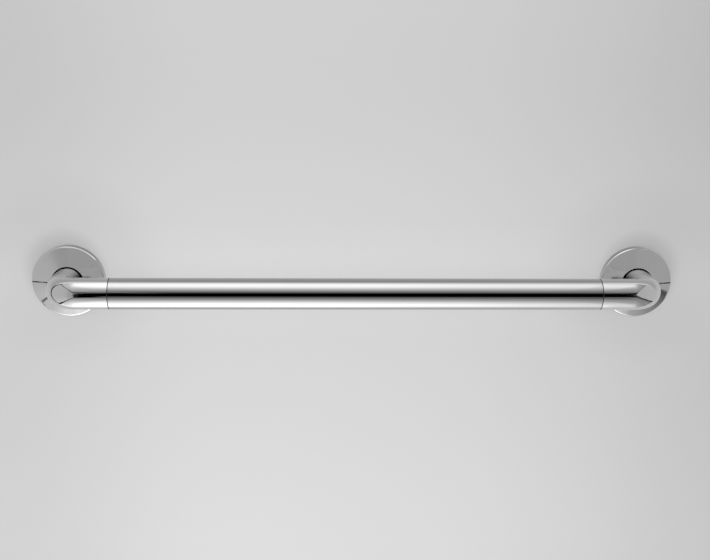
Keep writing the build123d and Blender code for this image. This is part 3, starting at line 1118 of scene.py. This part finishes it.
def arc_corner(before, corner, after, radius):
    """Points that round a corner of an outline, with a stop on each side of the arc."""
    before, corner, after = (Vector(point) for point in (before, corner, after))
    toward, away = (before - corner).normalized(), (after - corner).normalized()
    half = toward.angle(away) / 2
    back = radius / math.tan(half)
    centre = corner + (toward + away).normalized() * radius / math.sin(half)
    first, last = corner + toward * back - centre, corner + away * back - centre
    swing = first.angle_signed(last)
    arc = [centre + Matrix.Rotation(-swing * step / ARC_STEPS, 2) @ first for step in range(ARC_STEPS + 1)]
    points = [corner + toward * (back + HOLD), *arc, corner + away * (back + HOLD)]
    return [tuple(point) for point in points]


def drawn_outline(corners):
    """An outline from corners given as along, reach and round."""
    points = []
    for number, (along, reach, radius) in enumerate(corners):
        if radius:
            before, after = corners[number - 1][:2], corners[(number + 1) % len(corners)][:2]
            points += arc_corner(before, (along, reach), after, radius)
        else:
            points.append((along, reach))
    return points


def under_cover(radius):
    """Height of the cone's inner face above the wall at a radius."""
    return cover_height - (radius - hole_radius) * math.tan(cone_tilt) - cover_wall / math.cos(cone_tilt)


bead_tip = skirt_inner_radius - BEAD_HEIGHT
cover_outline = drawn_outline((
    (wall_gap, cover_radius, 0.0),
    (cover_rim_height, cover_radius, cover_rim_round),
    (cover_height, hole_radius, cover_edge_break),
    (under_cover(hole_radius), hole_radius, 0.0),
    (under_cover(skirt_inner_radius), skirt_inner_radius, cover_rim_round - cover_wall),
    (BEAD_MIDDLE + BEAD_FOOT, skirt_inner_radius, 0.0),
    (BEAD_MIDDLE + BEAD_TOP, bead_tip, 0.0),
    (BEAD_MIDDLE - BEAD_TOP, bead_tip, 0.0),
    (BEAD_MIDDLE - BEAD_FOOT, skirt_inner_radius, 0.0),
    (wall_gap, skirt_inner_radius, 0.0)))
print("cover outline with", len(cover_outline), "points")

# %% [markdown]
# ## Tongue and loop
# The two halves hold each other under the cone: at each end of the split, a flat tongue of one half
# slides into a loop of the other. Both are straight bars of one profile, so each profile is drawn
# once and pulled along, and a boolean joins the bars to the shell so that the half is one solid.

# %% Tongue and loop
TONGUE_WIDTH, TONGUE_REACH = 8.0 * MM, 5.0 * MM
TONGUE_NEAR, TONGUE_FAR = 0.3 * MM, 1.5 * MM
LOOP_WIDTH, SLOT_WIDTH = 10.6 * MM, 8.6 * MM
LOOP_START, LOOP_END = 1.0 * MM, 4.0 * MM
SLOT_DEPTH, LOOP_DEPTH = 1.8 * MM, 2.8 * MM
SUNK = cover_wall / 2
ROOT_START = split_gap / 2 + 0.02 * MM

tongue_profile = ((-TONGUE_REACH, TONGUE_NEAR), (-TONGUE_REACH, TONGUE_FAR), (TONGUE_REACH, TONGUE_FAR),
                  (TONGUE_REACH, -SUNK), (ROOT_START, -SUNK), (ROOT_START, TONGUE_NEAR))
loop_profile = ((-LOOP_WIDTH / 2, -SUNK), (-LOOP_WIDTH / 2, LOOP_DEPTH), (LOOP_WIDTH / 2, LOOP_DEPTH),
                (LOOP_WIDTH / 2, -SUNK), (SLOT_WIDTH / 2, -SUNK), (SLOT_WIDTH / 2, SLOT_DEPTH),
                (-SLOT_WIDTH / 2, SLOT_DEPTH), (-SLOT_WIDTH / 2, -SUNK))


def under_cone(x, half, side):
    """Matrix from width, split direction and depth under the cone to the room."""
    radius = (hole_radius + skirt_inner_radius) / 2
    lean = Matrix.Rotation(side * cone_tilt, 4, "Y") @ Matrix.Rotation(math.pi, 4, "Y")
    on_split = Matrix.Translation((side * radius, 0.0, under_cover(radius))) @ lean
    to_room = Matrix(((half, 0, 0, x), (0, 0, -1, 0), (0, half, 0, 0), (0, 0, 0, 1)))
    return to_room @ on_split


def add_bar(work, ring_at, start, end):
    """A closed bar whose profile is the same from start to end."""
    rings = [[work.verts.new(corner) for corner in ring_at(place)] for place in (start, end)]
    for ring in rings:
        work.faces.new(ring)
    for step in range(len(rings[0])):
        work.faces.new((rings[0][step - 1], rings[0][step], rings[1][step], rings[1][step - 1]))


def fasteners(name, x, half):
    """An object with the tongue and the loop of one cover half."""
    tongue_at, loop_at = under_cone(x, half, 1), under_cone(x, half, -1)
    work = bmesh.new()
    add_bar(work, lambda wide: [tongue_at @ Vector((wide, along, deep)) for along, deep in tongue_profile],
            -TONGUE_WIDTH / 2, TONGUE_WIDTH / 2)
    add_bar(work, lambda along: [loop_at @ Vector((wide, along, deep)) for wide, deep in loop_profile],
            LOOP_START, LOOP_END)
    bmesh.ops.recalc_face_normals(work, faces=work.faces)
    mesh = bpy.data.meshes.new(name)
    work.to_mesh(mesh)
    work.free()
    return link_object(name, mesh)


print("tongue %.1f x %.1f mm" % (TONGUE_WIDTH / MM, (TONGUE_FAR - TONGUE_NEAR) / MM))

# %% Cover halves
HALF_COVER_SIDES = 180
POST_ROUTE = 0.02


def joined_with(piece, other):
    """Make a piece and another one solid, with sharp edges at its corners; the other object goes."""
    union = piece.modifiers.new("join", "BOOLEAN")
    union.operation = "UNION"
    union.solver = "EXACT"
    union.object = other
    freeze(piece)
    bpy.data.objects.remove(other)
    work = bmesh.new()
    work.from_mesh(piece.data)
    for face in work.faces:
        face.smooth = True
    for edge in work.edges:
        edge.smooth = edge.calc_face_angle(math.pi) < SHARP_ANGLE
    work.to_mesh(piece.data)
    work.free()


def post_route(x):
    """The route along a post's axis, from the wall into the room."""
    return straight_route((x, 0.0, 0.0), (x, -POST_ROUTE, 0.0))


for side, end in ENDS:
    for half, name, start in ((1, "upper", 0.0), (-1, "lower", math.pi)):
        cover = swept("cover_%s_%s_spun" % (name, end), cover_outline, HALF_COVER_SIDES, cover_finish,
                      post_route(side * post_x), turn=(start, math.pi), gap=split_gap)
        joined_with(cover, fasteners("tongue_and_loop", side * post_x, half))
        stand_for(cover, "cover_%s_%s" % (name, end))
        covers_only.objects.link(cover)

# %% [markdown]
# ## Screw plates
# A plate is a steel disc with a groove round its rim for the cover's bead, four screw holes, and the
# weld that ties it to the post. The disc follows the sweep tree's rule. A second tree then does what
# repeats on it: it lays the weld's ripples one after the other round the post, and puts the same
# drill through the plate at every place of the hole circle.

# %% Tree for weld ripples and screw holes
RIPPLE_LEAN = 0.9
DRILL_SIDES, DRILL_LENGTH = 64, 4.0
ONTO_WALL = (math.pi / 2, 0.0, 0.0)

drilled, given = new_tree("weld_ripples_and_screw_holes", (
    ("Plate", "Geometry"), ("Post X", "Float"), ("Plate Thickness", "Float"), ("Weld Size", "Float"),
    ("Ripples", "Float"), ("Ripple Height", "Float"), ("Hole Count", "Int"), ("Hole Radius", "Float"),
    ("Hole Circle", "Float"), ("First Hole", "Float"), ("Finish", "Material")))
place = split_xyz(drilled, output(drilled, "GeometryNodeInputPosition"))
off_plate = less(drilled, product(drilled, place["Y"], -1.0), given["Plate Thickness"])
up_weld = calc(drilled, "DIVIDE", off_plate, given["Weld Size"])
crown = calc(drilled, "MAXIMUM", 0.0, product(drilled, up_weld, 4.0, less(drilled, 1.0, up_weld)))
angle = calc(drilled, "ARCTAN2", place["Z"], less(drilled, place["X"], given["Post X"]))
phase = total(drilled, product(drilled, angle, given["Ripples"], 0.5), product(drilled, crown, RIPPLE_LEAN))
wave = calc(drilled, "ABSOLUTE", calc(drilled, "SINE", phase))
ripple = product(drilled, given["Ripple Height"], crown, wave)
outward = scaled(drilled, output(drilled, "GeometryNodeInputNormal"), ripple)
welded = output(drilled, "GeometryNodeSetPosition", {"Geometry": given["Plate"], "Offset": outward})

circle = output(drilled, "GeometryNodeMeshCircle", {
    "Vertices": given["Hole Count"], "Radius": given["Hole Circle"]})
turned = output(drilled, "GeometryNodeTransform", {
    "Geometry": circle, "Rotation": join_xyz(drilled, 0.0, 0.0, given["First Hole"])})
places = output(drilled, "GeometryNodeTransform", {
    "Geometry": turned, "Rotation": ONTO_WALL, "Translation": join_xyz(drilled, given["Post X"], 0.0, 0.0)})
drill = output(drilled, "GeometryNodeMeshCylinder", {
    "Vertices": DRILL_SIDES, "Radius": given["Hole Radius"],
    "Depth": product(drilled, given["Plate Thickness"], DRILL_LENGTH)})
drills = output(drilled, "GeometryNodeInstanceOnPoints", {
    "Points": places, "Instance": drill, "Rotation": ONTO_WALL})
cut = output(drilled, "GeometryNodeMeshBoolean", {
    "Mesh 1": welded, "Mesh 2": output(drilled, "GeometryNodeRealizeInstances", {0: drills})},
    operation="DIFFERENCE", solver="EXACT")
finish_tree(drilled, cut, given["Finish"])

# %% Screw plates
PLATE_SIDES = 360
PLATE_THICKNESS, EDGE_BREAK = 3.0 * MM, 0.3 * MM
PLATE_CLEARANCE, GROOVE_CLEARANCE, LEG_FIT = 0.25 * MM, 1.0 * MM, 0.05 * MM
GROOVE_LOW, GROOVE_HIGH = 0.7 * MM, 2.3 * MM
WELD_SIZE, WELD_STEPS = 2.0 * MM, 8
RIPPLES, RIPPLE_HEIGHT = 48.0, 0.16 * MM
HOLE_COUNT, HOLE_RADIUS, HOLE_CIRCLE, FIRST_HOLE = 4, 3.25 * MM, 27.0 * MM, math.radians(45)

plate_radius = skirt_inner_radius - PLATE_CLEARANCE
groove_radius = skirt_inner_radius - GROOVE_CLEARANCE
eye_radius = tube_radius + LEG_FIT
weld_rises = [WELD_SIZE * step / WELD_STEPS for step in range(WELD_STEPS + 1)]
plate_outline = [
    (0.0, eye_radius), (0.0, plate_radius - EDGE_BREAK), (EDGE_BREAK, plate_radius),
    (GROOVE_LOW, plate_radius), (GROOVE_LOW, groove_radius), (GROOVE_HIGH, groove_radius),
    (GROOVE_HIGH, plate_radius), (PLATE_THICKNESS - EDGE_BREAK, plate_radius),
    (PLATE_THICKNESS, plate_radius - EDGE_BREAK)]
plate_outline += [(PLATE_THICKNESS + rise, eye_radius + WELD_SIZE - rise) for rise in weld_rises]

for side, end in ENDS:
    plate = swept("wall_plate_%s_welded" % end, plate_outline, PLATE_SIDES, plate_finish,
                  post_route(side * post_x))
    grow(plate, drilled, {
        "Post X": side * post_x, "Plate Thickness": PLATE_THICKNESS, "Weld Size": WELD_SIZE,
        "Ripples": RIPPLES, "Ripple Height": RIPPLE_HEIGHT, "Hole Count": HOLE_COUNT,
        "Hole Radius": HOLE_RADIUS, "Hole Circle": HOLE_CIRCLE, "First Hole": FIRST_HOLE,
        "Finish": plate_finish})
    freeze(plate)
    stand_for(plate, "wall_plate_" + end)
